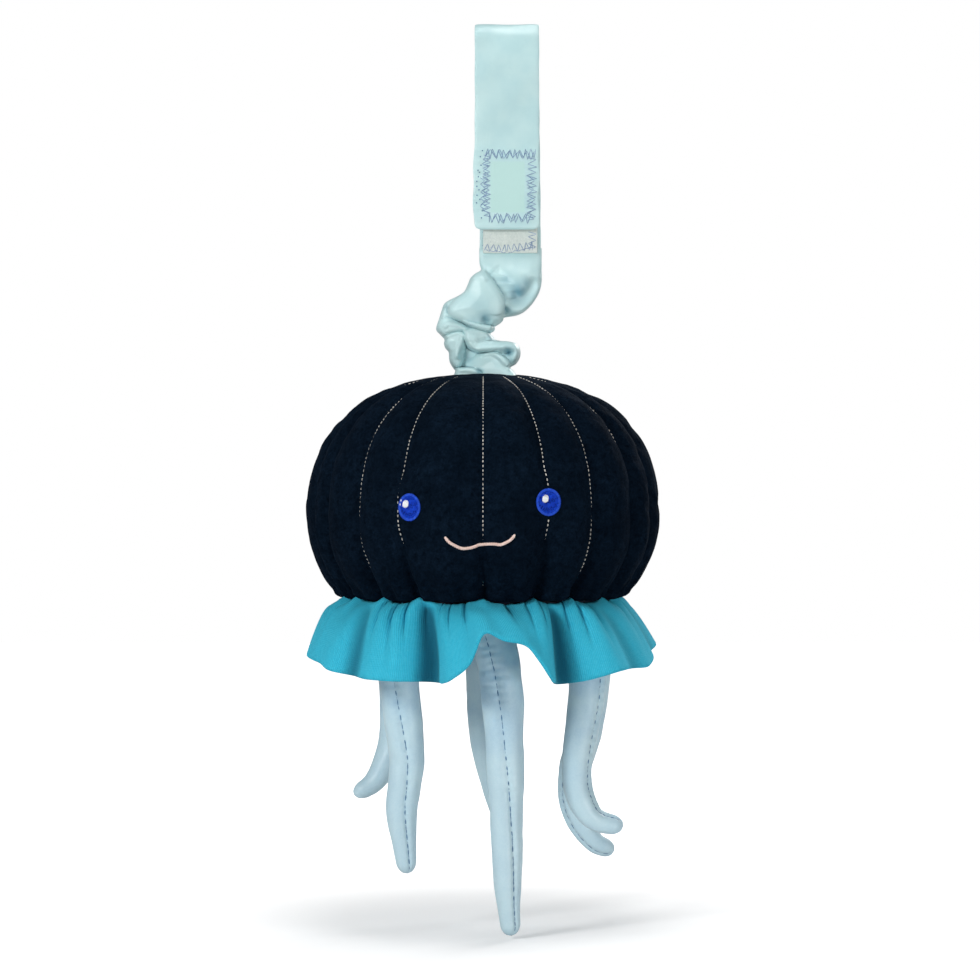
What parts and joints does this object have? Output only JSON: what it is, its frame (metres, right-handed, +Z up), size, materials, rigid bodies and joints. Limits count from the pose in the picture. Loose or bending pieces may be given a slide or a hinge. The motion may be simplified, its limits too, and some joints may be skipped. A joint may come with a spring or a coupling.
{
  "type": "plush jellyfish",
  "caption": "Hanging plush jellyfish toy: quilted stuffed bell with a stitched face, gathered ruffle, stuffed tentacles, ruched sleeve and a strap loop.",
  "frame": {"origin": "inner top of the strap's loop, where a rail or hook carries the toy", "axes": "+Z up along the hanging toy, the face looks along -Y, +X to the right as the face is seen"},
  "size_m": [0.1366, 0.1469, 0.3497],
  "materials": {
    "satin": "pale aqua satin",
    "hook_tape": "matt hook tape",
    "loop_tape": "matt looped pile",
    "elastic": "matt woven elastic",
    "navy_velour": "soft velour pile",
    "panel_cloth": "matt plain cloth",
    "teal_knit": "matt fine rib knit",
    "pale_velour": "soft sheen",
    "blue_thread": "satin embroidery thread",
    "white_thread": "satin embroidery thread",
    "peach_thread": "satin embroidery thread"
  },
  "bodies": {
    "root": {"strap_band": "satin", "hook_patch": "hook_tape", "loop_patch": "loop_tape", "ruched_sleeve": "satin", "sleeve_elastic": "elastic", "bell": "navy_velour", "base_panel": "panel_cloth", "ruffle": "teal_knit", "tentacle_front": "pale_velour", "tentacle_front_right": "pale_velour", "tentacle_back_right": "pale_velour", "tentacle_back": "pale_velour", "tentacle_back_left": "pale_velour", "tentacle_front_left": "pale_velour", "left_eye": "blue_thread", "right_eye": "blue_thread", "left_eye_glint": "white_thread", "right_eye_glint": "white_thread", "smile": "peach_thread"}
  },
  "joints": []
}
